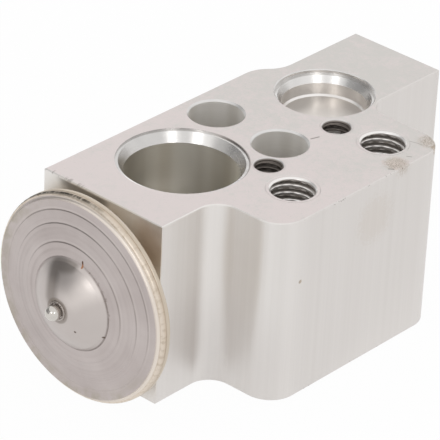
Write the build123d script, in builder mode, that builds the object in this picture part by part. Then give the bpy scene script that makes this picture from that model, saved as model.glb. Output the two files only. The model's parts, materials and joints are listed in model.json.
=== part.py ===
from build123d import *
import math
import os

# Thermostatic expansion valve of the block type, for a vehicle's air-conditioning circuit.
# Lengths are in millimetres. The origin is midway between the two fixing holes, in the plane of
# the evaporator-side face. X runs across the block towards its shoulder, Y along the valve axis
# away from the power head, and Z along the ports towards the compressor-side face.

# Block, an extruded bar machined on two faces
block_height = 30.5
block_length = 67.7
front_width = 23.8
front_offset = -0.45  # middle of the front part, measured from the valve axis
front_depth = 31.3  # fixing holes' line to the front face
shoulder_reach = 24.05  # valve axis to the shoulder's outer side
shoulder_start = 11.85  # front face to the shoulder's front side
shoulder_length = 38.05
neck_width = 17.3
neck_offset = -0.8
neck_start = 48.2  # front face to the middle of the slope into the neck
neck_slope_angle = 42.0
step_radius = 5.4
inner_corner_radius = 3.7
outer_corner_radius = 4.7
edge_break = 0.15

# Port faces
suction_y = -14.7
suction_radius = 8.75
suction_pocket_depth = 11.2  # each tube's end stops here, short of the rod
suction_passage_radius = 8.25
suction_seat_radius = 9.6
suction_seat_depth = 1.8
suction_ring_radius = 10.1
suction_ring_depth = 0.25
liquid_radius = 6.73
liquid_depth = 4.05
liquid_seat_radius = 7.35
liquid_seat_depth = 1.1
liquid_ring_radius = 7.8
liquid_ring_depth = 0.75
liquid_floor_chamfer = 0.3
port_lip_chamfer = 0.15
inlet_x = 0.5
inlet_y = 17.3
outlet_y = 12.0
inlet_passage_radius = 1.75
inlet_passage_y = 13.8  # behind the port's near lip in the floor
outlet_passage_radius = 1.9
outlet_passage_y = 7.75

# Fixing holes in the port faces
bolt_hole_radius = 4.25
bolt_hole_spacing = 13.0
bolt_hole_chamfer = 0.3
stud_thread_radius = 4.0
stud_thread_depth = 17.0
stud_x = 17.05
stud_first_y = -9.1
stud_second_y = 11.6
stud_chamfer = 0.1
clip_thread_radius = 2.5
clip_thread_depth = 9.0
clip_first = (9.8, -6.3)
clip_second = (8.95, 10.25)
clip_chamfer = 0.08
drill_point_angle = 118.0

# Bores along the valve axis
head_thread_radius = 9.0
head_thread_depth = 6.3
head_seal_pocket_radius = 10.3
head_seal_pocket_depth = 1.1
vapour_hole_radius = 6.0
gland_radius = 2.5
gland_length = 3.35  # beyond the suction passage's wall
throat_radius = 2.25
throat_start = 5.6
throat_length = 4.2
chamber_radius = 5.2
seal_bore_radius = 5.5
screw_thread_radius = 6.0
screw_mouth_chamfer = 0.3

# Power head, measured forwards from the front face
base_radius = 16.75
base_flange_back = 3.0
base_flange_thickness = 0.9
base_edge_radius = 0.3
base_seat_radius = 11.1
base_cone_start = 0.5
base_cone_overhang = 1.65  # flange's edge beyond the cone behind it
base_floor_hole_radius = 7.6
base_well_radius = 10.3
base_mouth_inset = 3.95
neck_length = 6.0
cap_inset = 0.45
cap_thickness = 1.0
cap_rim_height = 1.15
cap_rim_round = 0.45
cap_clamp_inset = 3.0
# Steps in the cap's conical face: distance in from the cap's edge, then heights above the
# clamped edge outside and inside
cap_steps = ((2.0, 1.12, 1.18), (4.0, 1.46, 1.54), (6.75, 2.0, 2.08))
cap_step_run = 0.15
dome_base_radius = 7.5
dome_base_height = 2.3
dome_shoulder_radius = 6.95
dome_shoulder_height = 2.95
dome_shoulder_inset = 0.75  # how much further in the inner surface turns into the dome
dome_middle_radius = 4.3
dome_middle_height = 4.6
dome_middle_inset = 0.35
dome_height = 5.35  # clamped edge to the dome's flat top
dome_top_radius = 1.7
charge_hole_radius = 0.95
charge_plug_radius = 1.25
diaphragm_thickness = 0.2
diaphragm_flat_radius = 5.4
corrugation_count = 3
corrugation_height = 0.25
head_seal_section = 0.56

# Moving train
valve_travel = 0.8
pad_radius = 9.7
pad_thickness = 1.0
pad_boss_radius = 4.4
pad_boss_length = 3.2
rod_tenon_radius = 2.0
rod_tenon_length = 2.2
rod_radius = 2.7
rod_reach = 7.0  # beyond the suction port's axis
pin_radius = 1.2
pin_socket_depth = 3.0
ball_radius = 2.6
carrier_cup_radius = 3.5
carrier_cup_length = 1.8
carrier_flange_radius = 4.6
carrier_flange_thickness = 1.0
carrier_stem_radius = 2.4
carrier_stem_length = 2.4
damper_ring_radius = 3.62
damper_thickness = 0.25
damper_leg_length = 2.9
damper_leg_width = 1.5
damper_leg_blank = 0.8  # radial size of the block that each leg is cut from
damper_leg_count = 6

# Seat, spring, gland parts and adjusting screw
seat_radius = 3.5
seat_length = 2.2
seat_hole_radius = 1.9
seat_edge_chamfer = 0.15
rod_seal_section = 0.6
retainer_thickness = 0.8
retainer_hole_radius = 1.35
spring_wire_radius = 0.45
spring_wire_sides = 8
spring_mean_radius = 3.65
spring_turns = 6.0
screw_recess = 1.1
screw_length = 8.0
screw_travel = 1.0  # one turn either way from the set position
screw_stop_gap = 0.2
screw_nose_radius = 5.4
screw_boss_radius = 2.5
screw_boss_length = 1.4
screw_groove_radius = 4.6
screw_groove_width = 1.2
screw_groove_start = 0.9
screw_land = 0.15  # seal bore left beyond the seal at the end of its travel
screw_seal_section = 0.42
hex_across_flats = 6.0
hex_depth = 4.0

# Clearances of the fits
thread_clearance = 0.05
press_clearance = 0.02
sliding_clearance = 0.03
contact_clearance = 0.04
leg_clearance = 0.08

# Places worked out from the sizes above
axis_z = block_height / 2
front_y = -front_depth
far_y = front_y + block_length
left_x = front_offset - front_width / 2
right_x = front_offset + front_width / 2
neck_left_x = neck_offset - neck_width / 2
neck_right_x = neck_offset + neck_width / 2
shoulder_front_y = front_y + shoulder_start
shoulder_far_y = shoulder_front_y + shoulder_length
slope_rise = neck_left_x - left_x
slope_half_run = slope_rise / math.tan(math.radians(neck_slope_angle)) / 2
# The slope's two rounded ends leave a little of it straight between them
slope_length = slope_rise / math.sin(math.radians(neck_slope_angle))
largest_step_radius = 0.49 * slope_length / math.tan(math.radians(neck_slope_angle / 2))
slope_middle_y = front_y + neck_start
outer_side_y = slope_middle_y - slope_half_run
inner_side_y = slope_middle_y + slope_half_run
drill_point = math.tan(math.radians(90 - drill_point_angle / 2))
over = 1.0  # cutting shapes reach this far outside a face

gland_end_y = suction_y + suction_passage_radius + gland_length
seat_front_y = throat_start + throat_length
seat_far_y = seat_front_y + seat_length
screw_end_y = far_y - screw_recess
screw_nose_y = screw_end_y - screw_length
groove_front_y = screw_nose_y + screw_groove_start
screw_seal_y = groove_front_y + screw_groove_width / 2
chamber_far_y = screw_nose_y - screw_travel - screw_stop_gap
seal_bore_far_y = screw_seal_y + screw_seal_section + screw_travel + screw_land
screw_thread_y = seal_bore_far_y + screw_travel + screw_stop_gap
base_cone_back_radius = base_radius - base_cone_overhang
base_mouth_radius = base_radius - base_mouth_inset
cap_radius = base_radius - cap_inset
cap_clamp_radius = cap_radius - cap_clamp_inset
diaphragm_radius = cap_radius  # welded in flush with the cap's edge
clamp_front = base_flange_back + base_flange_thickness
cap_back = clamp_front + diaphragm_thickness
seat_edge_y = seat_far_y - seat_edge_chamfer  # edge of the seat's hole, which the ball closes
ball_y = seat_edge_y + math.sqrt(ball_radius**2 - seat_hole_radius**2) + contact_clearance

half_section = Plane.XY.offset(axis_z)
valve_axis = Axis((0, 0, axis_z), (0, 1, 0))


def turn(*points, mode=Mode.ADD):
    """Turn a closed outline of (radius, y) points about the valve axis."""
    with BuildSketch(half_section) as section:
        with BuildLine():
            Polyline(*points, close=True)
        make_face()
    revolve(profiles=section.sketch, axis=valve_axis, mode=mode)


def ring(radius, y, section_radius):
    """Make a seal ring of round section about the valve axis."""
    with BuildSketch(half_section) as section:
        with Locations((radius, y)):
            Circle(section_radius)
    revolve(profiles=section.sketch, axis=valve_axis)


def bore(x, y, *points):
    """Cut a closed outline of (radius, z) points turned about an upright axis at x, y."""
    upright = Plane(origin=(x, y, 0), x_dir=(1, 0, 0), z_dir=(0, -1, 0))
    with BuildSketch(upright) as section:
        with BuildLine():
            Polyline(*points, close=True)
        make_face()
    revolve(profiles=section.sketch, axis=Axis((x, y, 0), (0, 0, 1)), mode=Mode.SUBTRACT)


def through_outline(rim):
    """Outline a through hole whose rim, listed as (radius, depth), is the same at both faces."""
    mouth = rim[0][0]
    upper = [(radius, block_height - depth) for radius, depth in reversed(rim)]
    top = block_height + over
    return [(0, -over), (mouth, -over), *rim, *upper, (mouth, top), (0, top)]


def blind_outline(rim, face, inwards):
    """Close a rim, listed as (radius, depth), into a blind hole that opens at a face."""
    steps = [(radius, face + inwards * depth) for radius, depth in rim]
    outside = face - inwards * over
    return [(0, outside), (rim[0][0], outside)] + steps


def tapped_rim(radius, depth, lip):
    """Give the rim of a tapped hole with its drill point, at the thread's outer radius."""
    return [(radius + lip, 0), (radius, lip), (radius, depth), (0, depth + radius * drill_point)]


def nearest_corner(sketch, x, y):
    """Find the corner of an outline that lies nearest to a point."""
    return sketch.vertices().sort_by_distance((x, y, 0))[0]


# Valve block
suction_rim = [
    (suction_ring_radius, 0),
    (suction_ring_radius, suction_ring_depth),
    (suction_seat_radius, suction_ring_depth),
    (suction_radius, suction_seat_depth),
    (suction_radius, suction_pocket_depth),
    (suction_passage_radius, suction_pocket_depth),
]
bolt_rim = [(bolt_hole_radius + bolt_hole_chamfer, 0), (bolt_hole_radius, bolt_hole_chamfer)]
liquid_rim = [
    (liquid_ring_radius + port_lip_chamfer, 0),
    (liquid_ring_radius, port_lip_chamfer),
    (liquid_ring_radius, liquid_ring_depth),
    (liquid_seat_radius, liquid_ring_depth),
    (liquid_radius, liquid_ring_depth + liquid_seat_depth),
    (liquid_radius, liquid_depth - liquid_floor_chamfer),
    (liquid_radius - liquid_floor_chamfer, liquid_depth),
    (0, liquid_depth),
]

with BuildPart() as valve_block:
    with BuildSketch() as outline:
        with BuildLine():
            Polyline(
                (left_x, front_y),
                (right_x, front_y),
                (right_x, shoulder_front_y),
                (shoulder_reach, shoulder_front_y),
                (shoulder_reach, shoulder_far_y),
                (neck_right_x, shoulder_far_y),
                (neck_right_x, far_y),
                (neck_left_x, far_y),
                (neck_left_x, inner_side_y),
                (left_x, outer_side_y),
                close=True,
            )
        make_face()
        fillet(
            [
                nearest_corner(outline, left_x, outer_side_y),
                nearest_corner(outline, neck_left_x, inner_side_y),
            ],
            min(step_radius, largest_step_radius),
        )
        fillet(
            [
                nearest_corner(outline, right_x, shoulder_front_y),
                nearest_corner(outline, neck_right_x, shoulder_far_y),
            ],
            inner_corner_radius,
        )
        fillet(
            [
                nearest_corner(outline, shoulder_reach, shoulder_front_y),
                nearest_corner(outline, shoulder_reach, shoulder_far_y),
            ],
            outer_corner_radius,
        )
    extrude(amount=block_height)
    faces_by_height = valve_block.faces().sort_by(Axis.Z)
    chamfer(faces_by_height[0].edges() + faces_by_height[-1].edges(), edge_break)

    # Ports and fixing holes
    bore(0, suction_y, *through_outline(suction_rim))
    for side in (-1, 1):
        bore(side * bolt_hole_spacing / 2, 0, *through_outline(bolt_rim))
    bore(inlet_x, inlet_y, *blind_outline(liquid_rim, block_height, -1))
    bore(0, outlet_y, *blind_outline(liquid_rim, 0, 1))
    for y in (stud_first_y, stud_second_y):
        stud_rim = tapped_rim(stud_thread_radius, stud_thread_depth, stud_chamfer)
        bore(stud_x, y, *blind_outline(stud_rim, block_height, -1))
    for x, y in (clip_first, clip_second):
        clip_rim = tapped_rim(clip_thread_radius, clip_thread_depth, clip_chamfer)
        bore(x, y, *blind_outline(clip_rim, block_height, -1))

    # Power head's threaded mouth, open into the suction bore
    turn(
        (0, front_y - over),
        (head_seal_pocket_radius, front_y - over),
        (head_seal_pocket_radius, front_y + head_seal_pocket_depth),
        (head_thread_radius, front_y + head_seal_pocket_depth),
        (head_thread_radius, front_y + head_thread_depth),
        (vapour_hole_radius, front_y + head_thread_depth),
        (vapour_hole_radius, suction_y),
        (0, suction_y),
        mode=Mode.SUBTRACT,
    )
    # Gland, push pin's bore, throat, seat pocket, ball chamber and screw's bores
    turn(
        (0, suction_y),
        (gland_radius, suction_y),
        (gland_radius, gland_end_y),
        (pin_radius + sliding_clearance, gland_end_y),
        (pin_radius + sliding_clearance, throat_start),
        (throat_radius, throat_start),
        (throat_radius, seat_front_y),
        (seat_radius + press_clearance, seat_front_y),
        (seat_radius + press_clearance, seat_far_y),
        (chamber_radius, seat_far_y),
        (chamber_radius, chamber_far_y),
        (seal_bore_radius, chamber_far_y),
        (seal_bore_radius, seal_bore_far_y),
        (screw_thread_radius, seal_bore_far_y),
        (screw_thread_radius, far_y - screw_mouth_chamfer),
        (screw_thread_radius + screw_mouth_chamfer, far_y),
        (screw_thread_radius + screw_mouth_chamfer, far_y + over),
        (0, far_y + over),
        mode=Mode.SUBTRACT,
    )
    # Passages between the liquid ports and the valve axis
    bore(
        0,
        inlet_passage_y,
        (0, axis_z),
        (inlet_passage_radius, axis_z),
        (inlet_passage_radius, block_height - liquid_depth + over),
        (0, block_height - liquid_depth + over),
    )
    bore(
        0,
        outlet_passage_y,
        (0, liquid_depth - over),
        (outlet_passage_radius, liquid_depth - over),
        (outlet_passage_radius, axis_z),
        (0, axis_z),
    )

# Power head's base, a turned cup with the threaded neck
base_floor = clamp_front - contact_clearance - pad_thickness - valve_travel - contact_clearance
with BuildPart() as head_base:
    turn(
        (base_seat_radius, front_y),
        (base_seat_radius + base_cone_start, front_y - base_cone_start),
        (base_cone_back_radius, front_y - base_flange_back),
        (base_radius, front_y - base_flange_back),
        (base_radius, front_y - clamp_front),
        (base_mouth_radius, front_y - clamp_front),
        (base_well_radius, front_y - base_floor),
        (base_floor_hole_radius, front_y - base_floor),
        (base_floor_hole_radius, front_y + neck_length),
        (head_thread_radius - thread_clearance, front_y + neck_length),
        (head_thread_radius - thread_clearance, front_y),
    )
    flange_edges = (
        head_base.edges()
        .filter_by(GeomType.CIRCLE)
        .filter_by(lambda edge: abs(edge.radius - base_radius) < 0.001)
    )
    fillet(flange_edges, base_edge_radius)

# Power head's cap, one stamping whose inside follows its outside
dome_top = cap_back + dome_height


def on_cap(radius, height):
    """Turn a radius and a height above the clamped edge into a point of the half section."""
    return (radius, front_y - cap_back - height)


# Face from the rim inwards, each step as its two corners
cap_face = [
    (cap_radius - inset + side * cap_step_run / 2, height)
    for inset, outside, inside in cap_steps
    for side, height in ((1, outside), (-1, inside))
]
cap_face.append((dome_base_radius, dome_base_height))

with BuildPart() as head_cap:
    with BuildSketch(half_section) as cap_section:
        with BuildLine():
            rim_top = on_cap(cap_radius - cap_rim_round, cap_rim_height)
            rim_side = on_cap(cap_radius, cap_rim_height - cap_rim_round)
            dome_foot = on_cap(dome_shoulder_radius, dome_shoulder_height)
            dome_middle = on_cap(dome_middle_radius, dome_middle_height)
            dome_edge = on_cap(dome_top_radius, dome_height)
            Polyline(on_cap(cap_clamp_radius, 0), on_cap(cap_radius, 0), rim_side)
            RadiusArc(rim_top, rim_side, cap_rim_round, short_sagitta=True)
            Polyline(rim_top, *[on_cap(*corner) for corner in cap_face], dome_foot)
            ThreePointArc(dome_foot, dome_middle, dome_edge)

            # Inside of the sheet, one thickness below the outside
            inner_face = [
                on_cap(radius, height - cap_thickness)
                for radius, height in cap_face
                if radius < cap_clamp_radius
            ]
            inner_foot = on_cap(
                dome_shoulder_radius - dome_shoulder_inset, dome_shoulder_height - cap_thickness
            )
            inner_middle = on_cap(
                dome_middle_radius - dome_middle_inset, dome_middle_height - cap_thickness
            )
            inner_edge = on_cap(dome_top_radius, dome_height - cap_thickness)
            Polyline(on_cap(cap_clamp_radius, 0), *inner_face, inner_foot)
            ThreePointArc(inner_foot, inner_middle, inner_edge)
            Polyline(
                inner_edge,
                on_cap(charge_hole_radius, dome_height - cap_thickness),
                on_cap(charge_hole_radius, dome_height),
                dome_edge,
            )
        make_face()
    revolve(profiles=cap_section.sketch, axis=valve_axis)

# Ball that closes the charging hole
plug_rise = math.sqrt(charge_plug_radius**2 - charge_hole_radius**2)
plug_y = front_y - dome_top - plug_rise - press_clearance
with BuildPart() as charge_plug:
    with Locations((0, plug_y, axis_z)):
        Sphere(charge_plug_radius)

# Diaphragm, clamped between base and cap
corrugation_pitch = (base_mouth_radius - diaphragm_flat_radius) / corrugation_count
with BuildPart() as diaphragm:
    with BuildSketch(half_section) as sheet:
        with BuildLine():
            low = front_y - clamp_front
            high = front_y - cap_back
            Polyline(
                (base_mouth_radius, low),
                (diaphragm_radius, low),
                (diaphragm_radius, high),
                (base_mouth_radius, high),
            )
            Polyline(
                (diaphragm_flat_radius, high), (0, high), (0, low), (diaphragm_flat_radius, low)
            )
            for index in range(corrugation_count):
                start = diaphragm_flat_radius + index * corrugation_pitch
                for level in (low, high):
                    ThreePointArc(
                        (start, level),
                        (start + corrugation_pitch / 2, level - corrugation_height),
                        (start + corrugation_pitch, level),
                    )
        make_face()
    revolve(profiles=sheet.sketch, axis=valve_axis)

# Seal between the head and the block
head_seal_radius = (head_thread_radius + head_seal_pocket_radius) / 2
with BuildPart() as head_seal:
    ring(head_seal_radius, front_y + head_seal_pocket_depth / 2, head_seal_section - press_clearance)

# Pad under the diaphragm, with the boss that holds the rod
pad_front_y = front_y - clamp_front + contact_clearance
pad_back_y = pad_front_y + pad_thickness
boss_end_y = pad_back_y + pad_boss_length
with BuildPart() as diaphragm_pad:
    turn(
        (0, pad_front_y),
        (pad_radius, pad_front_y),
        (pad_radius, pad_back_y),
        (pad_boss_radius, pad_back_y),
        (pad_boss_radius, boss_end_y),
        (rod_tenon_radius + press_clearance, boss_end_y),
        (rod_tenon_radius + press_clearance, boss_end_y - rod_tenon_length),
        (0, boss_end_y - rod_tenon_length),
    )

# Sensing rod across the suction bore
rod_end_y = suction_y + rod_reach
socket_floor_y = rod_end_y - pin_socket_depth
with BuildPart() as sensing_rod:
    turn(
        (0, boss_end_y - rod_tenon_length + press_clearance),
        (rod_tenon_radius, boss_end_y - rod_tenon_length + press_clearance),
        (rod_tenon_radius, boss_end_y),
        (rod_radius, boss_end_y),
        (rod_radius, rod_end_y),
        (pin_radius + press_clearance, rod_end_y),
        (pin_radius + press_clearance, socket_floor_y),
        (0, socket_floor_y),
    )

# Push pin from the rod to the ball
pin_end_y = ball_y - ball_radius - press_clearance
with BuildPart() as push_pin:
    turn(
        (0, socket_floor_y),
        (pin_radius, socket_floor_y),
        (pin_radius, pin_end_y),
        (0, pin_end_y),
    )

# Seal round the push pin and the washer that keeps it in its gland
rod_seal_radius = (pin_radius + gland_radius) / 2
retainer_far_y = gland_end_y - 2 * rod_seal_section - sliding_clearance
with BuildPart() as rod_seal:
    ring(rod_seal_radius, gland_end_y - rod_seal_section, rod_seal_section)

with BuildPart() as seal_retainer:
    turn(
        (retainer_hole_radius, retainer_far_y - retainer_thickness),
        (gland_radius - press_clearance, retainer_far_y - retainer_thickness),
        (gland_radius - press_clearance, retainer_far_y),
        (retainer_hole_radius, retainer_far_y),
    )

# Orifice seat, pressed in from the ball chamber
with BuildPart() as orifice_seat:
    turn(
        (seat_hole_radius, seat_front_y),
        (seat_radius, seat_front_y),
        (seat_radius, seat_far_y),
        (seat_hole_radius + seat_edge_chamfer, seat_far_y),
        (seat_hole_radius, seat_edge_y),
    )

# Valve ball
with BuildPart() as valve_ball:
    with Locations((0, ball_y, axis_z)):
        Sphere(ball_radius)

# Carrier behind the ball, with a cone for the ball and a stem inside the spring
cone_tip_y = ball_y + ball_radius * math.sqrt(2) + press_clearance
flange_front_y = ball_y + ball_radius
flange_back_y = flange_front_y + carrier_flange_thickness
cup_front_y = flange_front_y - carrier_cup_length
with BuildPart() as ball_carrier:
    turn(
        (0, cone_tip_y),
        (cone_tip_y - cup_front_y, cup_front_y),
        (carrier_cup_radius, cup_front_y),
        (carrier_cup_radius, flange_front_y),
        (carrier_flange_radius, flange_front_y),
        (carrier_flange_radius, flange_back_y),
        (carrier_stem_radius, flange_back_y),
        (carrier_stem_radius, flange_back_y + carrier_stem_length),
        (0, flange_back_y + carrier_stem_length),
    )

# Spring clip round the carrier, whose legs rub on the chamber's wall
leg_outer_radius = chamber_radius - leg_clearance
with BuildPart() as carrier_damper:
    turn(
        (damper_ring_radius, flange_front_y - damper_thickness),
        (leg_outer_radius, flange_front_y - damper_thickness),
        (leg_outer_radius, flange_front_y),
        (damper_ring_radius, flange_front_y),
    )
    leg_plane = Plane(origin=(0, flange_front_y, axis_z), x_dir=(1, 0, 0), z_dir=(0, -1, 0))
    with BuildSketch(leg_plane) as legs:
        with PolarLocations(leg_outer_radius, damper_leg_count):
            Rectangle(damper_leg_blank, damper_leg_width)
        Circle(leg_outer_radius, mode=Mode.INTERSECT)
        Circle(leg_outer_radius - damper_thickness, mode=Mode.SUBTRACT)
    extrude(legs.sketch, amount=damper_leg_length)

# Adjusting screw with its seal groove, spring boss and hexagon socket
with BuildPart() as adjusting_screw:
    turn(
        (0, screw_nose_y - screw_boss_length),
        (screw_boss_radius, screw_nose_y - screw_boss_length),
        (screw_boss_radius, screw_nose_y),
        (screw_nose_radius, screw_nose_y),
        (screw_nose_radius, groove_front_y),
        (screw_groove_radius, groove_front_y),
        (screw_groove_radius, groove_front_y + screw_groove_width),
        (screw_nose_radius, groove_front_y + screw_groove_width),
        (screw_nose_radius, screw_thread_y),
        (screw_thread_radius - thread_clearance, screw_thread_y),
        (screw_thread_radius - thread_clearance, screw_end_y - screw_mouth_chamfer),
        (screw_thread_radius - thread_clearance - screw_mouth_chamfer, screw_end_y),
        (0, screw_end_y),
    )
    socket_plane = Plane(origin=(0, screw_end_y, axis_z), x_dir=(1, 0, 0), z_dir=(0, 1, 0))
    with BuildSketch(socket_plane) as socket:
        RegularPolygon(hex_across_flats / 2, 6, major_radius=False)
    extrude(socket.sketch, amount=-hex_depth, mode=Mode.SUBTRACT)

# Adjusting screw's seal
screw_seal_radius = (screw_groove_radius + seal_bore_radius) / 2
with BuildPart() as screw_seal:
    ring(screw_seal_radius, screw_seal_y, screw_seal_section)

# Closing spring between the carrier and the screw
spring_start_y = flange_back_y + spring_wire_radius + contact_clearance
spring_length = screw_nose_y - spring_start_y - spring_wire_radius - contact_clearance
with BuildPart() as valve_spring:
    with BuildLine() as coil:
        Helix(
            pitch=spring_length / spring_turns,
            height=spring_length,
            radius=spring_mean_radius,
            center=(0, spring_start_y, axis_z),
            direction=(0, 1, 0),
        )
    with BuildSketch(Plane(origin=coil.line @ 0, z_dir=coil.line % 0)) as wire:
        RegularPolygon(spring_wire_radius, spring_wire_sides)
    sweep(wire.sketch, path=coil.line, is_frenet=True)

parts = {
    "valve_block": valve_block,
    "head_base": head_base,
    "head_cap": head_cap,
    "charge_plug": charge_plug,
    "diaphragm": diaphragm,
    "head_seal": head_seal,
    "diaphragm_pad": diaphragm_pad,
    "sensing_rod": sensing_rod,
    "push_pin": push_pin,
    "rod_seal": rod_seal,
    "seal_retainer": seal_retainer,
    "orifice_seat": orifice_seat,
    "valve_ball": valve_ball,
    "ball_carrier": ball_carrier,
    "carrier_damper": carrier_damper,
    "valve_spring": valve_spring,
    "adjusting_screw": adjusting_screw,
    "screw_seal": screw_seal,
}
os.makedirs("parts", exist_ok=True)
for name, piece in parts.items():
    piece.part.label = name
    export_step(piece.part, f"parts/{name}.step")
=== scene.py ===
"""Looks of a block-type thermostatic expansion valve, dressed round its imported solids.

Shapes are worked out in millimetres in the part's own frame and scaled to metres when a mesh is made.
X runs across the block towards its shoulder, Y along the valve axis, and Z along the ports.
"""

import json
import math

import bmesh
import bpy
import numpy as np
from mathutils import Matrix, Vector


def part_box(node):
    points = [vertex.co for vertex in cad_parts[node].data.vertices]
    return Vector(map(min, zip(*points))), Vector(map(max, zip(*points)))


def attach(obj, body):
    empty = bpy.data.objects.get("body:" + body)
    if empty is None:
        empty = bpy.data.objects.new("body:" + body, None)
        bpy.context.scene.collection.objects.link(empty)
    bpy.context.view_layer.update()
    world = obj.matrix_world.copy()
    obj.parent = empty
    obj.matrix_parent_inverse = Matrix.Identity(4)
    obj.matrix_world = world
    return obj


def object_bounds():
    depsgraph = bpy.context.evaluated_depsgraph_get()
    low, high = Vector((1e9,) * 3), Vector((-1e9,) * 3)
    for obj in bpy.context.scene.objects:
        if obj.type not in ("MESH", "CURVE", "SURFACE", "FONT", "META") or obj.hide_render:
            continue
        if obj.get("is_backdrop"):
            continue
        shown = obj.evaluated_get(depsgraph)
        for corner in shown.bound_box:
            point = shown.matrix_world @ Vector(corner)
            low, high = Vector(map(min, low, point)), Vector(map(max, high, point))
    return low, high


MM = 0.001
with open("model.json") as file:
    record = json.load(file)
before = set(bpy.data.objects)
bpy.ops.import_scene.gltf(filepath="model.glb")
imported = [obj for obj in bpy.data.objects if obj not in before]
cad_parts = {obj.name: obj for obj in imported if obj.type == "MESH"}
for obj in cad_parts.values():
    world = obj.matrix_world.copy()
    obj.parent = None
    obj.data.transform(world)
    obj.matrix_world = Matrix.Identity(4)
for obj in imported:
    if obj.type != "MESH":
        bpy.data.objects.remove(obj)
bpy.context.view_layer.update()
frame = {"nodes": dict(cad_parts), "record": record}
mounts = {mount["name"]: mount for mount in frame["record"]["mounts"]}

# Camera of the photograph, in the part's frame
CAMERA_PLACE = (300.34, -353.58, 282.11)
CAMERA_AZIMUTH = 40.78
CAMERA_ELEVATION = 30.01
CAMERA_ROLL = 2.96
SENSOR_WIDTH = 36.0
LENS = 284.54
CLIP_START = 0.01

# Threads: pitch, core radius and the radius of their countersunk mouth
STUD_PITCH = 1.25
STUD_CORE_RADIUS = 3.34
STUD_MOUTH_RADIUS = 3.62
CLIP_PITCH = 0.8
CLIP_CORE_RADIUS = 2.07
CLIP_MOUTH_RADIUS = 2.36
THREAD_EMBED = 0.01
THREAD_RUN_IN = 0.5
THREAD_ROUND_STEPS = 96
THREAD_STEPS_PER_PITCH = 14
CREST_SHARE = 0.25
ROOT_SHARE = 0.875

# Edges that bend by more degrees than this are shaded sharp
SHARP_ANGLE = 40

# Weld that closes the seam between the cap's edge and the flange
SEAM_RADIUS = 16.33
SEAM_Y = -35.45
SEAM_RISE = 0.4
SEAM_HALF_WIDTH = 0.6
SEAM_RIPPLE = 0.006
SEAM_RIPPLES = 83
SEAM_ROUND_STEPS = 332
SEAM_SECTION_STEPS = 20

# Weld round the charging ball
WELD_RADIUS = 1.42
WELD_SECTION = 0.2
WELD_RIPPLE = 0.04
WELD_RIPPLES = 17
WELD_ROUND_STEPS = 72
WELD_SECTION_STEPS = 14


class Socket:
    """A shader output on which Python arithmetic adds Math nodes."""

    def __init__(self, finish, link):
        self.finish = finish
        self.link = link

    def maths(self, operation, *values):
        return self.finish.add("Math", {"operation": operation}, dict(enumerate(values)))

    def __add__(self, other):
        return self.maths("ADD", self, other)

    def __radd__(self, other):
        return self.maths("ADD", other, self)

    def __sub__(self, other):
        return self.maths("SUBTRACT", self, other)

    def __rsub__(self, other):
        return self.maths("SUBTRACT", other, self)

    def __mul__(self, other):
        return self.maths("MULTIPLY", self, other)

    def __truediv__(self, other):
        return self.maths("DIVIDE", self, other)

    def __pow__(self, other):
        return self.maths("POWER", self, other)

    def __abs__(self):
        return self.maths("ABSOLUTE", self)


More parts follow.
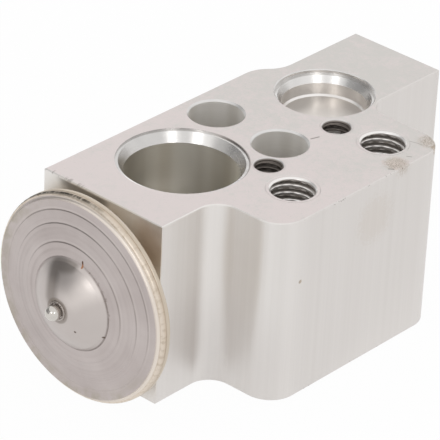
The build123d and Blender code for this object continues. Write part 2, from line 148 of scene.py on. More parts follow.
class Finish:
    """A procedural material round one Principled shader, read on the piece's own millimetres."""

    def __init__(self, name, metallic=1.0, roughness=0.4):
        self.material = bpy.data.materials.new(name)
        self.material.use_nodes = True
        self.tree = self.material.node_tree
        self.tree.nodes.clear()
        self.shader = self.tree.nodes.new("ShaderNodeBsdfPrincipled")
        output = self.tree.nodes.new("ShaderNodeOutputMaterial")
        self.tree.links.new(self.shader.outputs[0], output.inputs[0])
        self.shader.inputs["Metallic"].default_value = metallic
        self.shader.inputs["Roughness"].default_value = roughness
        metres = self.add("TexCoord", output="Object")
        self.mm = self.add("VectorMath", {"operation": "SCALE"}, {0: metres, "Scale": 1 / MM})
        self.facing = self.add("TexCoord", output="Normal")
        self.x, self.y, self.z = self.split(self.mm)

    def add(self, kind, settings=None, inputs=None, output=0):
        """Add one node, with its settings made before its sockets are filled."""
        node = self.tree.nodes.new("ShaderNode" + kind)
        for key, value in (settings or {}).items():
            setattr(node, key, value)
        for key, value in (inputs or {}).items():
            self.join(value, node.inputs[key])
        return Socket(self, node.outputs[output])

    def join(self, value, socket):
        if isinstance(value, Socket):
            self.tree.links.new(value.link, socket)
        else:
            socket.default_value = value

    def set(self, name, value):
        self.join(value, self.shader.inputs[name])

    def split(self, vector):
        node = self.add("SeparateXYZ", inputs={0: vector}).link.node
        return [Socket(self, out) for out in node.outputs]

    def noise(self, stretch, detail=3.0, roughness=0.55, shift=(0, 0, 0)):
        """Noise with so many features per millimetre along X, Y and Z, from 0 to 1."""
        scaled = self.add("VectorMath", {"operation": "MULTIPLY"}, {0: self.mm, 1: stretch})
        moved = self.add("VectorMath", {"operation": "ADD"}, {0: scaled, 1: shift})
        return self.add(
            "TexNoise", inputs={"Vector": moved, "Scale": 1.0, "Detail": detail, "Roughness": roughness}
        )

    def rings(self, radius, across, along):
        """Noise with so many features per millimetre of radius and of Y, the same all the way round."""
        place = self.add("CombineXYZ", inputs={0: radius * across, 1: self.y * along, 2: 0.0})
        return self.add(
            "TexNoise", inputs={"Vector": place, "Scale": 1.0, "Detail": 3.0, "Roughness": 0.6}
        )

    def smooth(self, value, low, high):
        """Rise smoothly from 0 at low to 1 at high, or fall where high is the lower."""
        inputs = {0: value, 1: min(low, high), 2: max(low, high)}
        risen = self.add("MapRange", {"interpolation_type": "SMOOTHSTEP"}, inputs)
        return risen if low < high else 1 - risen

    def mix(self, share, first, second):
        """Blend two colours."""
        settings = {"data_type": "RGBA"}
        return self.add("Mix", settings, {0: share, 6: first, 7: second}, output=2)

    def distance(self, centre):
        """Distance in millimetres from a point, whose missing coordinates are left out."""
        squares = [
            (axis - at) * (axis - at)
            for axis, at in zip((self.x, self.y, self.z), centre)
            if at is not None
        ]
        total = squares[0]
        for square in squares[1:]:
            total = total + square
        return total.maths("SQRT", total)

    def segment(self, start, end):
        """Distance in millimetres from the straight line between two points."""
        axes = [
            (axis, at, to - at)
            for axis, at, to in zip((self.x, self.y, self.z), start, end)
            if at is not None
        ]
        length = sum(run * run for axis, at, run in axes)
        along = sum((axis - at) * (run / length) for axis, at, run in axes)
        along = along.maths("MINIMUM", along.maths("MAXIMUM", along, 0.0), 1.0)
        total = sum((axis - at - along * run) ** 2.0 for axis, at, run in axes)
        return total.maths("SQRT", total)

    def band(self, value, middle, half):
        """Rise to 1 where a value passes the middle of a band, and fall to 0 at its two edges."""
        return self.smooth(abs(value - middle), half, half * 0.3)

    def most(self, shares):
        """The largest of several shares at each point."""
        most = shares[0]
        for share in shares[1:]:
            most = most.maths("MAXIMUM", most, share)
        return most

    def bump(self, height, depth):
        """Raise the surface by a height from 0 to 1 times a depth in millimetres."""
        inputs = {"Height": height, "Distance": depth * MM, "Strength": 1.0}
        self.set("Normal", self.add("Bump", inputs=inputs))


def rgb(red, green, blue):
    """A colour as it is seen, from 0 to 255, made linear for the shader."""
    seen = np.array([red, green, blue]) / 255
    linear = np.where(seen <= 0.04045, seen / 12.92, ((seen + 0.055) / 1.055) ** 2.4)
    return (*linear, 1.0)


def stained(f, tone):
    """Beige veils with fine brown cracks where the block was stained."""
    fine = f.noise((2.6, 2.6, 2.6), detail=5.0, roughness=0.7)
    cracks = f.smooth(abs(fine - 0.5), 0.03, 0.008)
    for place, reach, veil, crack in STAINS:
        ragged = f.distance(place) + (fine - 0.5) * (reach * 1.6)
        inside = f.smooth(ragged, reach, reach * 0.45)
        tone = f.mix(inside * veil, tone, STAIN_VEIL)
        tone = f.mix(inside * cracks * crack, tone, STAIN_CRACK)
    return tone


def scratch_share(f, depth):
    """Share of scratches, burrs and the chatter of the cutter along the front edge."""
    marks = [f.smooth(f.segment(a, b), width, width * 0.4) * dark for a, b, width, dark in SCRATCHES]
    ticks = f.smooth(f.noise((2.2, 0.25, 0.25), detail=1.0, shift=(6, 0, 0)), 0.52, 0.6)
    front_edge = f.smooth(abs(f.y - FRONT_EDGE_Y), 0.75, 0.25) * f.smooth(depth, 0.5, 0.1)
    marks.append(front_edge * ticks * f.smooth(f.x, -2.0, -7.0) * 0.38)
    nicks = f.smooth(f.noise((1.5, 1.5, 1.5), detail=4.0, roughness=0.7, shift=(8, 8, 8)), 0.6, 0.68)
    shoulder_edge = f.smooth(f.x, *SHOULDER_EDGE_X) * f.smooth(depth, 0.6, 0.15)
    marks.append(shoulder_edge * nicks * 0.55)
    return f.most(marks)


def block_finish():
    """Bare aluminium: die lines on the sides, fine milling on the faces, turned marks in the holes, and
    painted light and shade on the sides, in the holes and behind the head.
    """
    f = Finish("bare_block_aluminium")
    facing_y, facing_z = f.split(f.facing)[1:]
    upright = f.smooth(abs(facing_z), 0.7, 0.95)
    depth = BLOCK_MIDDLE - abs(f.z - BLOCK_MIDDLE)
    milled = upright * f.smooth(depth, 0.1, 0.05)

    die_lines = f.noise((9.0, 9.0, 0.03), detail=3.0)
    broad_lines = f.noise((1.1, 1.1, 0.012), detail=3.0, shift=(7, 3, 0))
    milling = f.noise((5.0, 5.0, 5.0), detail=2.0, roughness=0.7)
    clouds = f.noise((0.14, 0.14, 0.14), detail=4.0, roughness=0.6, shift=(2, 9, 4))
    blotches = f.noise((0.9, 0.9, 0.9), detail=3.0, roughness=0.6, shift=(5, 1, 8))
    specks = f.smooth(f.noise((3.2, 3.2, 3.2), detail=3.0, roughness=0.65, shift=(3, 3, 1)), 0.66, 0.74)
    turned_marks = f.noise((0.05, 0.05, 7.0), detail=3.0)
    hole_sheen_noise = f.noise((0.3, 0.3, 0.0), detail=1.0, shift=(4, 8, 0))

    radii = {name: f.distance((*place, None)) for name, (place, rim) in HOLE_RIMS.items()}
    holes = {name: f.smooth(radii[name], rim + 0.1, rim) for name, (place, rim) in HOLE_RIMS.items()}
    turned = f.most(list(holes.values())) * (1 - milled)

    # Sides, with painted light that makes them brighter towards the front and above, and the two milled
    # faces
    side_tone = f.mix(broad_lines * 0.6 + die_lines * 0.4, *SIDE_TONES)
    lit_end = f.smooth(f.y, -12.0, -22.0) * (f.smooth(f.z, 5.0, 20.0) * 0.95 + 0.05)
    side_tone = f.mix(lit_end * 0.8, side_tone, f.mix(broad_lines, *LIT_TONES))
    face_share = f.smooth(f.y, -30.0, 34.0) * 0.55 + (clouds - 0.5) * 1.0 + (blotches - 0.5) * 1.2
    face_share = face_share + (milling - 0.5) * 1.3
    face_tone = f.mix(f.smooth(face_share, -0.1, 0.75), *FACE_TONES)
    face_tone = f.mix(specks * 0.5, face_tone, FACE_SPECK)

    # Suction ports: the wall with painted shade at its ends and a painted highlight band, and the cone at
    # the mouth with painted shade towards lower X and a painted highlight across it
    # Vertical bands painted into the holes' tone as reflections, mixed with the real turned marks
    sheen_bands = f.smooth(hole_sheen_noise, 0.34, 0.66)
    marks_and_sheen = turned_marks * 0.35 + sheen_bands * 0.65
    hole_tone = f.mix(marks_and_sheen, *HOLE_TONES)
    suction = f.most([holes["suction_near"], holes["suction_far"]])
    past_cone = f.smooth(depth, *CONE_END_DEPTHS)
    wall = suction * past_cone
    hole_tone = f.mix(wall, hole_tone, f.mix(marks_and_sheen, *SUCTION_TONES))
    wall_ends = f.most([f.smooth(f.y, -10.5, -17.3), f.smooth(f.x, -2.5, 0.8) * 0.35])
    hole_tone = f.mix(wall * wall_ends * 0.7, hole_tone, SUCTION_SHADE)
    hole_tone = f.mix(wall * f.band(f.y, -7.8, 1.6) * 0.8, hole_tone, SUCTION_TONES[1])
    cone = suction * (1 - past_cone)
    hole_tone = f.mix(cone * f.smooth(f.x, -3.0, -5.5) * 0.35, hole_tone, CONE_SHADE)
    hole_tone = f.mix(cone * f.band(f.x, -0.5, 3.0), hole_tone, CONE_GLEAM)
    rough_streaks = f.smooth(f.noise((0.6, 2.4, 2.4), detail=4.0, shift=(1, 2, 6)), 0.42, 0.62)
    cone_wear = cone * f.smooth(f.x, 0.5, 6.5) * rough_streaks
    hole_tone = f.mix(cone_wear * 0.35, hole_tone, CONE_WEAR)

    # Fixing holes, tapped holes with a painted highlight on their crests and mouths, and liquid ports with
    # their floors
    bolts = f.most([holes["bolt_left"], holes["bolt_right"]]) * f.smooth(depth, 0.25, 0.35)
    hole_tone = f.mix(bolts, hole_tone, f.mix(marks_and_sheen, *BOLT_TONES))
    stud_names = ("stud_front", "stud_rear")
    studs = f.most([holes[name] for name in stud_names])
    hole_tone = f.mix(studs, hole_tone, f.mix(marks_and_sheen, *STUD_TONES))
    crest = STUD_CORE_RADIUS
    crests = f.most([f.smooth(radii[name], crest + 0.16, crest + 0.04) for name in stud_names])
    mouths = studs * f.smooth(depth, 0.4, 0.25)
    hole_tone = f.mix(f.most([crests * studs, mouths]), hole_tone, CREST_HIGHLIGHT)
    clips = f.most([holes["clip_front"], holes["clip_rear"]]) * f.smooth(depth, 0.05, 0.2)
    hole_tone = f.mix(clips, hole_tone, f.mix(turned_marks, *CLIP_TONES))
    port = f.most([holes["inlet"], holes["outlet"]])
    port_wall = port * past_cone
    hole_tone = f.mix(port_wall, hole_tone, f.mix(marks_and_sheen, *PORT_TONES))
    floor_tone = f.mix(f.smooth(f.x, -4.0, -1.5), *PORT_FLOOR_TONES)
    hole_tone = f.mix(port_wall * upright * 0.9, hole_tone, floor_tone)

    # The front face behind the head in a painted warm shade, painted shade in its gap, and a painted
    # shadow as a dark arc at the suction port's edge
    tone = f.mix(milled, side_tone, face_tone)
    tone = f.mix(turned, tone, hole_tone)
    near_head = f.smooth(f.distance((0, None, HEAD_AXIS)), *BEHIND_HEAD_RADII)
    behind_head = f.smooth(f.y, *BEHIND_HEAD_Y) * near_head
    tone = f.mix(behind_head * 0.85, tone, f.mix(clouds, *BEHIND_HEAD_TONES))
    # Painted shade in the gap, dark at the left and brown at the right
    in_gap = f.smooth(depth, 0.2, 0.5) * f.smooth(f.y, *GAP_Y)
    for start, end, reach, share, shade_tone in GAP_SHADE:
        near = f.smooth(f.segment(start, end) + (clouds - 0.5) * reach, reach, reach * 0.2)
        tone = f.mix(near * share * in_gap, tone, shade_tone)
    # Painted shadow of the ring's step, as a dark arc at the suction port's edge
    ring_step_shadow = f.band(radii["suction_near"], RING_EDGE_RADIUS, 0.17) * f.smooth(f.x, -3.5, 1.0)
    ring_step_shadow = ring_step_shadow * f.smooth(f.y, -13.5, -10.5) * f.smooth(depth, 0.5, 0.3)
    tone = f.mix(ring_step_shadow * 0.6, tone, RING_STEP_SHADOW)
    tone = stained(f, tone)
    scratched = scratch_share(f, depth)
    f.set("Base Color", f.mix(scratched, tone, SCRATCH_TONE))

    # A partly diffuse metal where the renderer ends the paths of mirrors too early
    toward_front = f.smooth(facing_y, -0.3, -0.9) * f.smooth(f.x, *SHOULDER_CURVE_X) * (1 - turned)
    shares = [bolts * 0.5, wall * 0.42, behind_head * 0.5, toward_front * 0.4]
    f.set("Metallic", 1 - f.most(shares))

    cones = f.most([suction, port]) * (1 - past_cone) * turned
    rough = 0.37 + die_lines * 0.08 + milled * 0.07 - turned * 0.1 - cones * 0.05
    f.set("Roughness", rough + cone_wear * 0.15 + clips * 0.2 + scratched * 0.15)
    sides = (1 - milled) * (1 - turned)
    relief = sides * die_lines * 0.45 + milled * milling * 0.3 + turned * turned_marks - scratched * 0.8
    f.bump(relief, 0.012)
    return f.material


def cap_finish():
    """Satin pressed steel: fine rings, painted shade as dark lines at the steps, a brighter dome with
    painted shade and a painted highlight, painted light and shade near the rim, and a few small marks.
    """
    f = Finish("satin_cap_steel")
    radius = f.distance((0, None, HEAD_AXIS))
    right = f.x / radius
    above = (f.z - HEAD_AXIS) / radius
    rings = f.rings(radius, 3.2, 0.6)
    drift = f.noise((0.13, 0.13, 0.13), detail=3.0)
    patches = f.noise((0.5, 0.5, 0.5), detail=4.0, roughness=0.65, shift=(3, 1, 7))
    tone = f.mix(f.smooth(drift * 0.6 + rings * 0.4, 0.3, 0.7), *CAP_TONES)

    # The dome, with painted shade along two lines and a painted highlight beside them
    dome = f.smooth(radius, *DOME_EDGE_RADII)
    tone = f.mix(dome, tone, f.mix(drift, *DOME_TONES))
    dome_shade = f.most([f.smooth(f.segment(a, b), reach, core) for a, b, reach, core in DOME_SHADE_LINES])
    tone = f.mix(dome_shade * dome * 0.6, tone, CAP_SHADE)
    dome_highlight = f.smooth(f.segment(*DOME_HIGHLIGHT_LINE), 2.8, 0.5)
    tone = f.mix(dome_highlight * dome * 0.3, tone, CAP_GLEAM)

    # A painted gleam on the rim's right, and an olive painted shade inside it, strongest at the left and
    # below
    bright_rim = f.smooth(radius, *RIM_GLEAM_RADII) * f.smooth(right + above * 0.3, -0.5, 0.4)
    tone = f.mix(bright_rim * 0.8, tone, RIM_GLEAM)
    outer = f.smooth(radius, *OLIVE_SHADE_RADII) * (1 - bright_rim) * f.smooth(patches, 0.35, 0.65)
    outer = outer * f.smooth(right + above, 1.1, -0.6)
    tone = f.mix(outer * 0.55, tone, OLIVE_SHADE)

    # Painted shade as a dark line at each step, clear above and fading below, and a painted highlight as a
    # pale line beside it
    patchy = f.smooth(patches, 0.25, 0.6) * 0.5 + 0.5
    upper = f.smooth(above + right * 0.35, -0.3, 0.8) * 0.92 + 0.08
    for step in CAP_STEP_RADII:
        tone = f.mix(f.band(radius, step, 0.15) * upper * patchy * 0.5, tone, CAP_SHADE)
        tone = f.mix(f.band(radius, step + 0.28, 0.2) * upper * 0.18, tone, STEP_GLEAM)

    # Faint lines between the steps at the left, and dark lines at the feet of the dome and the ball
    left = f.smooth(right, 0.1, -0.7)
    for halo in CAP_HALO_RADII:
        tone = f.mix(f.band(radius, halo, 0.3) * left * patchy * 0.16, tone, HALO_TONE)
    foot_side = f.smooth(right - above * 0.4, -0.4, 0.6) * 0.8 + 0.2
    foot = f.band(radius, DOME_FOOT_RADIUS, 0.17) * foot_side
    tone = f.mix(foot * patchy * 0.6, tone, DOME_FOOT)
    plug_foot = f.band(radius, PLUG_FOOT_RADIUS, 0.45)
    tone = f.mix(plug_foot * 0.6, tone, PLUG_FOOT)

    # Rust line, the nicks beside it and two specks
    rust = f.smooth(f.segment(*RUST_LINE), 0.2, 0.08)
    rust_low = f.smooth(f.z, 22.9, 22.6)
    tone = f.mix(rust, tone, f.mix(rust_low, *RUST_TONES))
    nicks = f.smooth(f.noise((1.8, 1.8, 1.8), detail=3.0, shift=(9, 2, 2)), 0.56, 0.62)
    nicked_side = f.smooth(right, 0.2, 0.5) * f.smooth(above, -0.1, 0.3)
    nicked = f.band(radius, NICKS_RADIUS, 0.4) * nicks * nicked_side
    tone = f.mix(nicked * 0.45, tone, NICK_TONE)
    specks = [f.smooth(f.distance(place), 0.24, 0.12) for place in CAP_SPECKS]
    tone = f.mix(f.most(specks) * 0.85, tone, CAP_SPECK_TONE)
    f.set("Base Color", tone)

    f.set("Roughness", 0.34 + rings * 0.1 - dome * 0.04 + outer * 0.1)
    f.bump(rings * 0.6 + drift * 0.4, 0.003)
    return f.material


def seam_finish():
    """Weld of the rim: cream beside the cap, beige at its outside, and a painted shadow of the groove at
    its upper left.
    """
    f = Finish("rim_weld_steel")
    radius = f.distance((0, None, HEAD_AXIS))
    above = (f.z - HEAD_AXIS) / radius
    right = f.x / radius
    beads = f.noise((1.4, 0.5, 1.4), detail=3.0, roughness=0.6)
    across = f.smooth(f.y, SEAM_Y - SEAM_HALF_WIDTH, SEAM_Y + SEAM_HALF_WIDTH)
    tone = f.mix(across, *SEAM_TONES)
    tone = f.mix(f.smooth(beads, 0.45, 0.7) * 0.5, tone, SEAM_MOTTLE)
    # Painted shadow along the groove at the upper left, broken up by the beads
    dark = f.smooth(above - right, 0.6, 1.1) * f.smooth(beads, 0.2, 0.55)
    dark = dark * f.band(f.y, SEAM_Y - 0.22, 0.36)
    f.set("Base Color", f.mix(dark, tone, SEAM_GROOVE_SHADOW))
    f.set("Roughness", 0.26 + beads * 0.14 + dark * 0.2)
    f.bump(beads, 0.01)
    return f.material


def base_finish():
    """Steel of the head's base, with a paler, partly brownish tone behind the flange."""
    f = Finish("weld_tinted_steel")
    rings = f.rings(f.distance((0, None, HEAD_AXIS)), 3.0, 3.0)
    drift = f.noise((0.2, 0.2, 0.2), detail=3.0, roughness=0.6)
    tone = f.mix(drift * 0.5 + rings * 0.5, *BASE_TONES)
    behind = f.smooth(f.y, *FLANGE_BACK_Y)
    behind_flange_tone = f.mix(f.smooth(drift, 0.35, 0.6), *BEHIND_FLANGE_TONES)
    f.set("Base Color", f.mix(behind * 0.8, tone, behind_flange_tone))
    f.set("Metallic", 1 - behind * 0.5)
    f.set("Roughness", 0.3 + rings * 0.12)
    f.bump(rings, 0.006)
    return f.material


def plain_finish(name, low, high, metallic, roughness):
    """A finish for small inner pieces: fine speckle in tone, roughness and surface."""
    f = Finish(name, metallic=metallic)
    speckle = f.noise((2.0, 2.0, 2.0), detail=3.0)
    f.set("Base Color", f.mix(speckle, low, high))
    f.set("Roughness", roughness + speckle * 0.1)
    f.bump(speckle, 0.004)
    return f.material


def surface(name, points, finish, body):
    """Make a closed mesh of a grid of points in millimetres, whose rows and columns both wrap round."""
    rows, columns = points.shape[:2]
    index = np.arange(rows * columns).reshape(rows, columns)
    next_row = np.roll(index, -1, axis=0)
    faces = np.stack([index, next_row, np.roll(next_row, -1, axis=1), np.roll(index, -1, axis=1)], -1)
    mesh = bpy.data.meshes.new(name)
    mesh.from_pydata(points.reshape(-1, 3) * MM, [], faces.reshape(-1, 4).tolist())
    shaped = bmesh.new()
    shaped.from_mesh(mesh)
    bmesh.ops.recalc_face_normals(shaped, faces=shaped.faces)
    shaped.to_mesh(mesh)
    shaped.free()
    mesh.shade_smooth()
    mesh.set_sharp_from_angle(angle=math.radians(SHARP_ANGLE))
    mesh.materials.append(finish)
    piece = bpy.data.objects.new(name, mesh)
    bpy.context.scene.collection.objects.link(piece)
    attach(piece, body)
    return piece


def full_turn(steps):
    """So many equal angles round a full turn."""
    return np.linspace(0, 2 * np.pi, steps, endpoint=False)


def carried_round(turn, radius, along, axis_z):
    """Points at a radius and a place along Y, at each turn about an axis that runs along Y."""
    return np.stack([radius * np.cos(turn), along, axis_z + radius * np.sin(turn)], axis=-1)


def thread_sleeve(mount_name, pitch, core_radius, mouth_radius, finish):
    """Thread of a tapped hole, a sleeve inside the plain wall.

    Its inner radius is a trapezoid wave of the depth in pitches plus the angle in turns, which
    winds right-handed. The grooves grow from nothing over the run-in below the mouth, and a 45
    degree cone from the mouth's radius cuts the wave where it is wider. The outside follows the
    solid's wall and the small chamfer at its mouth.
    """
    mount = mounts[mount_name]
    x, y = (value / MM for value in mount["pos_m"][:2])
    outer = mount["dims"]["r_mm"]
    face_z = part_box("valve_block")[1].z / MM
    depth_reach = mount["dims"]["length_mm"]
    chamfer = face_z - mount["pos_m"][2] / MM - depth_reach / 2
    steps = round(depth_reach / pitch * THREAD_STEPS_PER_PITCH)
    angle = full_turn(THREAD_ROUND_STEPS)[:, None]
    depth = np.linspace(0, depth_reach, steps)[None, :]
    phase = (depth / pitch + angle / (2 * np.pi)) % 1
    from_crest = np.abs(phase - 0.5) * 2
    ridge = np.clip((ROOT_SHARE - from_crest) / (ROOT_SHARE - CREST_SHARE), 0, 1)
    grown = np.clip(depth / THREAD_RUN_IN - 0.5, 0, 1)
    radius = core_radius + (outer - core_radius) * (1 - ridge) * grown
    radius = np.maximum(radius, mouth_radius - depth)
    wall_radius = np.array([outer, outer, outer + chamfer]) + THREAD_EMBED
    wall_depth = np.array([depth_reach, chamfer, 0])
    radius = np.hstack([radius, np.tile(wall_radius, (THREAD_ROUND_STEPS, 1))])
    depth = np.tile(np.append(depth, wall_depth), (THREAD_ROUND_STEPS, 1))
    points = np.stack(
        [x + radius * np.cos(angle), y + radius * np.sin(angle), face_z - depth], axis=-1
    )
    return surface(mount_name + "_thread", points, finish, "block")


def weld_bead(finish):
    """Ring of weld round the charging ball: a circle of varying section carried round the axis."""
    plug_low, plug_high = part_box("charge_plug")
    axis_z = (plug_low.z + plug_high.z) / 2 / MM
    seat_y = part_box("head_cap")[0].y / MM
    turn = full_turn(WELD_ROUND_STEPS)[:, None]
    round_section = full_turn(WELD_SECTION_STEPS)[None, :]
    section = WELD_SECTION + WELD_RIPPLE * np.sin(WELD_RIPPLES * turn)
    radius = WELD_RADIUS + section * np.cos(round_section)
    along = seat_y + section * np.sin(round_section)
    points = carried_round(turn, radius, along, axis_z)
    return surface("charge_weld", points, finish, "block")


def rim_weld(finish):
    """Weld round the head's rim: an ellipse of slightly rippled rise carried round the valve axis."""
    turn = full_turn(SEAM_ROUND_STEPS)[:, None]
    round_section = full_turn(SEAM_SECTION_STEPS)[None, :]
    rise = SEAM_RISE + SEAM_RIPPLE * np.sin(SEAM_RIPPLES * turn)
    radius = SEAM_RADIUS + rise * np.cos(round_section)
    along = SEAM_Y + SEAM_HALF_WIDTH * np.sin(round_section) + 0 * turn
    points = carried_round(turn, radius, along, HEAD_AXIS)
    return surface("rim_weld", points, finish, "block")


def emptied(owner):
    """Node tree of a material or world, with no nodes in it."""
    owner.use_nodes = True
    owner.node_tree.nodes.clear()
    return owner.node_tree


def seen_share(tree):
    """1 on rays of the camera and of reflections, and 0 on the others."""
    path = tree.nodes.new("ShaderNodeLightPath")
    seen = tree.nodes.new("ShaderNodeMath")
    seen.operation = "MAXIMUM"
    tree.links.new(path.outputs["Is Camera Ray"], seen.inputs[0])
    tree.links.new(path.outputs["Is Glossy Ray"], seen.inputs[1])
    return seen.outputs[0]


def join_mixed(tree, share, first, second, output):
    """Mix two shaders by a share, and join them to an output of the kind named."""
    mixed = tree.nodes.new("ShaderNodeMixShader")
    out = tree.nodes.new(output)
    tree.links.new(share, mixed.inputs[0])
    tree.links.new(first.outputs[0], mixed.inputs[1])
    tree.links.new(second.outputs[0], mixed.inputs[2])
    tree.links.new(mixed.outputs[0], out.inputs[0])


def grey_flag(name, first, last, tone):
    """Grey card left of the camera, part of an upright cylinder, that only reflections see."""
    turn = np.radians(np.linspace(first, last, FLAG_COLUMNS))[:, None]
    height = np.array(FLAG_HEIGHTS)[None, :]
    x = FLAG_DISTANCE * np.sin(turn) + 0 * height
    y = -FLAG_DISTANCE * np.cos(turn) + 0 * height
    points = np.stack([x, y, height + 0 * turn], axis=-1)
    index = np.arange(FLAG_COLUMNS * 2).reshape(FLAG_COLUMNS, 2)
    faces = np.stack([index[:-1, 0], index[1:, 0], index[1:, 1], index[:-1, 1]], axis=-1)
    mesh = bpy.data.meshes.new("flag_" + name)
    mesh.from_pydata(points.reshape(-1, 3), [], faces.tolist())
    grey = bpy.data.materials.new("flag_grey_" + name)
    tree = emptied(grey)
    glow = tree.nodes.new("ShaderNodeEmission")
    glow.inputs["Color"].default_value = (tone, tone, tone, 1)
    out = tree.nodes.new("ShaderNodeOutputMaterial")
    tree.links.new(glow.outputs[0], out.inputs[0])
    mesh.materials.append(grey)
    flag = bpy.data.objects.new("flag_" + name, mesh)
    bpy.context.scene.collection.objects.link(flag)
    flag.visible_camera = False
    flag.visible_diffuse = False
    flag.visible_shadow = False
    flag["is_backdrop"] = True


def make_floor():
    """Pale floor that the head's rim and the block's far end rest on."""
    rim_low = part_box("head_base")[0]
    tilt = math.atan2(-rim_low.z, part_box("valve_block")[1].y - rim_low.y)
    half = FLOOR_HALF
    corners = [(-half, -half, 0), (half, -half, 0), (half, half, 0), (-half, half, 0)]
    mesh = bpy.data.meshes.new("floor")
    mesh.from_pydata(corners, [], [(0, 1, 2, 3)])
    mesh.transform(Matrix.Translation((0, rim_low.y, rim_low.z)) @ Matrix.Rotation(tilt, 4, "X"))
    floor = bpy.data.objects.new("floor", mesh)
    bpy.context.scene.collection.objects.link(floor)
    floor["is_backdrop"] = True

    pale = bpy.data.materials.new("pale_floor")
    tree = emptied(pale)
    diffuse = tree.nodes.new("ShaderNodeBsdfDiffuse")
    diffuse.inputs[0].default_value = FLOOR_TONE
    glow = tree.nodes.new("ShaderNodeEmission")
    share = tree.nodes.new("ShaderNodeMath")
    share.operation = "MULTIPLY"
    share.inputs[1].default_value = FLOOR_GLOW
    tree.links.new(seen_share(tree), share.inputs[0])
    join_mixed(tree, share.outputs[0], diffuse, glow, "ShaderNodeOutputMaterial")
    mesh.materials.append(pale)


def make_world():
    """World that lights the part softly, and is white to the camera and in reflections."""
    world = bpy.data.worlds.new("studio_white")
    bpy.context.scene.world = world
    tree = emptied(world)
    light, white = tree.nodes.new("ShaderNodeBackground"), tree.nodes.new("ShaderNodeBackground")
    for background, strength in ((light, WORLD_LIGHT), (white, 1.0)):
        background.inputs["Strength"].default_value = strength
        background.inputs["Color"].default_value = (1, 1, 1, 1)
    join_mixed(tree, seen_share(tree), light, white, "ShaderNodeOutputWorld")


def make_lamps(centre):
    """Soft round lamps that face the middle of the part."""
    for name, azimuth, elevation, distance, size, power in LAMPS:
        a, e = math.radians(azimuth), math.radians(elevation)
        back = Vector((math.sin(a) * math.cos(e), -math.cos(a) * math.cos(e), math.sin(e)))
        data = bpy.data.lights.new(name, "AREA")
        data.shape = "DISK"
        data.size = size
        data.energy = power
        lamp = bpy.data.objects.new(name, data)
        lamp.location = centre + back * distance
        lamp.rotation_euler = (-back).to_track_quat("-Z", "Y").to_euler()
        bpy.context.scene.collection.objects.link(lamp)


def make_camera():
    """Camera of the photograph, rolled about its line of sight."""
    azimuth, elevation, roll = (
        math.radians(angle) for angle in (CAMERA_AZIMUTH, CAMERA_ELEVATION, CAMERA_ROLL)
    )
    forward = Vector((
        -math.sin(azimuth) * math.cos(elevation),
        math.cos(azimuth) * math.cos(elevation),
        -math.sin(elevation),
    ))
    level = Vector((math.cos(azimuth), math.sin(azimuth), 0))
    above = level.cross(forward)
    right = level * math.cos(roll) + above * math.sin(roll)
    upward = above * math.cos(roll) - level * math.sin(roll)
    data = bpy.data.cameras.new("camera")
    data.sensor_width = SENSOR_WIDTH
    data.lens = LENS
    data.clip_start = CLIP_START
    camera = bpy.data.objects.new("camera", data)
    turn = Matrix((right, upward, -forward)).transposed().to_4x4()
    camera.matrix_world = Matrix.Translation(Vector(CAMERA_PLACE) * MM) @ turn
    bpy.context.scene.collection.objects.link(camera)
    bpy.context.scene.camera = camera
    bpy.context.scene.view_settings.view_transform = "Standard"


def studio():
    """Pale floor that the part rests on, white surroundings, soft lamps and the photograph's camera."""
    low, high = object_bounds()
    make_floor()
    make_world()
    make_lamps((low + high) / 2)
    make_camera()


# Places on the block in millimetres; a pair holds where a look begins and where it is full
BLOCK_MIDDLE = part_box("valve_block")[1].z / MM / 2
HEAD_AXIS = BLOCK_MIDDLE
FACE_Z = 30.5
FRONT_Y = -31.3
FRONT_EDGE_Y = -31.2
SHOULDER_X = 24.05
SHOULDER_EDGE_X = (23.6, 23.95)
SHOULDER_CURVE_X = (11.6, 12.2)
BEHIND_HEAD_Y = (-31.0, -31.2)
BEHIND_HEAD_RADII = (19.0, 14.5)
GAP_Y = (-31.1, -31.25)
CONE_END_DEPTHS = (1.75, 1.9)
RING_EDGE_RADIUS = 10.12

# Places on the head
DOME_EDGE_RADII = (7.5, 7.2)
DOME_FOOT_RADIUS = 7.48
NICKS_RADIUS = 7.6
PLUG_FOOT_RADIUS = 1.75
CAP_STEP_RADII = (14.3, 12.3, 9.55)
CAP_HALO_RADII = (8.5, 10.7, 11.5)
RIM_GLEAM_RADII = (15.75, 15.95)
OLIVE_SHADE_RADII = (13.2, 16.0)
FLANGE_BACK_Y = (-34.9, -34.3)

# The block's holes: place across the faces and the radius within which their walls are turned
BOLT_X = mounts["fixing_holes"]["dims"]["spacing_x_mm"] / 2
BOLT_RIM = mounts["fixing_holes"]["dims"]["hole_r_mm"] + 0.35
HOLE_RIMS = {"bolt_left": ((-BOLT_X, 0), BOLT_RIM), "bolt_right": ((BOLT_X, 0), BOLT_RIM)}
for short_name, mount_name, rim in (
    ("suction_near", "suction_port_compressor_side", 10.15),
    ("suction_far", "suction_port_evaporator_side", 10.15),
    ("inlet", "liquid_inlet_port", 8.0),
    ("outlet", "liquid_outlet_port", 8.0),
    ("stud_front", "stud_hole_front", 4.15),
    ("stud_rear", "stud_hole_rear", 4.15),
    ("clip_front", "clip_hole_front", 2.62),
    ("clip_rear", "clip_hole_rear", 2.62),
):
    HOLE_RIMS[short_name] = ([value / MM for value in mounts[mount_name]["pos_m"][:2]], rim)

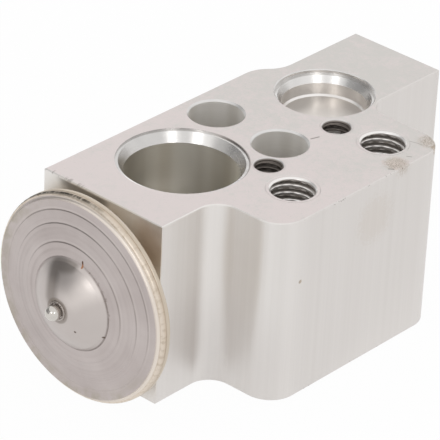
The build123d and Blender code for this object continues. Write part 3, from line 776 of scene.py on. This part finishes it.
# Tones of the block, in pairs where a noise runs from one to the other
SIDE_TONES = (rgb(215, 210, 206), rgb(229, 225, 222))
LIT_TONES = (rgb(230, 226, 222), rgb(241, 238, 235))
FACE_TONES = (rgb(222, 213, 211), rgb(211, 208, 204))
FACE_SPECK = rgb(180, 172, 166)
HOLE_TONES = (rgb(210, 208, 206), rgb(226, 224, 222))
SUCTION_TONES = (rgb(228, 221, 207), rgb(252, 248, 238))
SUCTION_SHADE = rgb(120, 112, 98)
CONE_SHADE = rgb(180, 177, 175)
CONE_GLEAM = rgb(250, 247, 244)
CONE_WEAR = rgb(166, 157, 155)
RING_STEP_SHADOW = rgb(120, 110, 106)
BOLT_TONES = (rgb(222, 218, 211), rgb(255, 253, 250))
STUD_TONES = (rgb(192, 186, 181), rgb(208, 203, 199))
CREST_HIGHLIGHT = rgb(240, 237, 234)
CLIP_TONES = (rgb(104, 97, 91), rgb(150, 142, 136))
PORT_TONES = (rgb(226, 222, 218), rgb(244, 241, 238))
PORT_FLOOR_TONES = (rgb(176, 171, 166), rgb(216, 210, 204))
BEHIND_HEAD_TONES = (rgb(212, 203, 190), rgb(230, 223, 212))
STAIN_VEIL = rgb(190, 172, 150)
STAIN_CRACK = rgb(118, 100, 82)
SCRATCH_TONE = rgb(112, 102, 94)

# Tones of the head
CAP_TONES = (rgb(184, 174, 171), rgb(199, 190, 187))
DOME_TONES = (rgb(192, 184, 180), rgb(204, 196, 192))
CAP_SHADE = rgb(112, 103, 96)
CAP_GLEAM = rgb(246, 238, 232)
RIM_GLEAM = rgb(238, 228, 216)
OLIVE_SHADE = rgb(172, 165, 146)
STEP_GLEAM = rgb(222, 215, 210)
HALO_TONE = rgb(140, 131, 126)
DOME_FOOT = rgb(98, 88, 80)
PLUG_FOOT = rgb(120, 110, 100)
RUST_TONES = (rgb(92, 66, 52), rgb(170, 122, 92))
NICK_TONE = rgb(120, 108, 96)
CAP_SPECK_TONE = rgb(84, 68, 56)
SEAM_TONES = (rgb(222, 210, 196), rgb(190, 172, 152))
SEAM_MOTTLE = rgb(176, 160, 138)
SEAM_GROOVE_SHADOW = rgb(58, 53, 45)
BASE_TONES = (rgb(190, 176, 158), rgb(212, 201, 186))
BEHIND_FLANGE_TONES = (rgb(228, 220, 210), rgb(212, 197, 175))

# Marks on the cap: the ends of lines, with reach and core for the lines of painted shade on the dome, and
# the specks
DOME_SHADE_LINES = (
    ((-1.4, None, 16.9), (-2.3, None, 21.3), 1.9, 0.4),
    ((-2.3, None, 21.3), (0.5, None, 22.2), 1.5, 0.4),
)
DOME_HIGHLIGHT_LINE = ((2.2, None, 18.2), (4.4, None, 19.8))
RUST_LINE = ((1.9, None, 23.1), (2.05, None, 22.3))
CAP_SPECKS = ((3.13, None, 12.72), (6.8, None, 12.48))

# Stains on the block: place, reach in millimetres, strength of the veil and of the cracks
STAINS = (
    ((22.0, 17.2, FACE_Z), 2.6, 0.3, 0.8),
    ((23.6, 16.2, 30.2), 1.0, 0.5, 0.9),
    ((22.6, 8.0, FACE_Z), 2.4, 0.35, 0.7),
    ((SHOULDER_X, -14.6, 19.9), 0.4, 0.7, 0.9),
    ((SHOULDER_X, 2.0, 24.0), 5.0, 0.14, 0.0),
    ((-3.0, FRONT_Y, 3.0), 6.0, 0.2, 0.0),
)

# Scratches: two ends, width and darkness
SCRATCHES = (
    ((8.82, 4.45, FACE_Z), (9.24, 5.82, FACE_Z), 0.16, 0.7),
    ((SHOULDER_X, -20.8, 2.4), (SHOULDER_X, -20.6, 1.2), 0.14, 0.7),
    ((SHOULDER_X, -19.6, 2.2), (SHOULDER_X, -19.5, 1.4), 0.12, 0.6),
    ((SHOULDER_X, -18.1, 2.4), (SHOULDER_X, -18.0, 1.5), 0.12, 0.6),
    ((22.9, 5.9, FACE_Z), (23.5, 6.4, FACE_Z), 0.16, 0.7),
    ((22.3, 10.9, FACE_Z), (22.9, 11.3, FACE_Z), 0.12, 0.5),
    ((19.6, 14.9, FACE_Z), (21.4, 15.4, FACE_Z), 0.1, 0.4),
)

# Painted shade in the gap behind the head: two ends, reach, share and tone
GAP_SHADE = (
    ((-7.0, FRONT_Y, 30.0), (-1.5, FRONT_Y, 30.2), 3.0, 0.7, rgb(84, 76, 68)),
    ((9.8, FRONT_Y, 25.5), (8.5, FRONT_Y, 27.5), 4.5, 0.5, rgb(166, 134, 98)),
)

# Floor and world: half the floor's width in metres, its tone, and the shares of glow and light
FLOOR_HALF = 3.0
FLOOR_TONE = (0.9, 0.9, 0.9, 1)
FLOOR_GLOW = 0.97
WORLD_LIGHT = 0.8

# Lamps: name, azimuth, elevation, distance in metres, size in metres, watts
LAMPS = (
    ("left_box", 14, 29, 0.9, 0.2, 0.34),
    ("right_box", 62, 29, 0.9, 0.2, 0.34),
)

# Grey flags: name, first and last azimuth and tone, and their heights and distance in metres
FLAGS = (("far_left", -102, -78, 0.6), ("left", -78, -40, 0.33), ("near_left", -40, -14, 0.45))
FLAG_HEIGHTS = (-0.01, 0.5)
FLAG_DISTANCE = 0.6
FLAG_COLUMNS = 7

weld_tint = base_finish()
cap_satin = cap_finish()
seam_metal = seam_finish()
block_metal = block_finish()
steel = plain_finish("ground_steel", rgb(188, 187, 185), rgb(208, 207, 205), 1.0, 0.25)
brass = plain_finish("turned_brass", rgb(190, 158, 96), rgb(214, 184, 122), 1.0, 0.28)
rod_metal = plain_finish("turned_aluminium_rod", rgb(200, 198, 195), rgb(218, 216, 213), 1.0, 0.3)
rubber = plain_finish("dark_seal_rubber", rgb(34, 42, 36), rgb(48, 56, 48), 0.0, 0.6)
polished = plain_finish("polished_ball_steel", rgb(196, 191, 185), rgb(214, 210, 204), 1.0, 0.09)

NODE_FINISHES = {
    "valve_block": block_metal,
    "head_base": weld_tint,
    "head_cap": cap_satin,
    "charge_plug": polished,
    "diaphragm": steel,
    "head_seal": rubber,
    "diaphragm_pad": brass,
    "sensing_rod": rod_metal,
    "push_pin": steel,
    "rod_seal": rubber,
    "seal_retainer": steel,
    "orifice_seat": steel,
    "valve_ball": polished,
    "ball_carrier": brass,
    "carrier_damper": steel,
    "valve_spring": steel,
    "adjusting_screw": brass,
    "screw_seal": rubber,
}
for node_name, finish in NODE_FINISHES.items():
    mesh = frame["nodes"][node_name].data
    mesh.materials.clear()
    mesh.materials.append(finish)

for mount_name in ("stud_hole_front", "stud_hole_rear"):
    thread_sleeve(mount_name, STUD_PITCH, STUD_CORE_RADIUS, STUD_MOUTH_RADIUS, block_metal)
for mount_name in ("clip_hole_front", "clip_hole_rear"):
    thread_sleeve(mount_name, CLIP_PITCH, CLIP_CORE_RADIUS, CLIP_MOUTH_RADIUS, block_metal)
weld_bead(cap_satin)
rim_weld(seam_metal)
for flag in FLAGS:
    grey_flag(*flag)
studio()
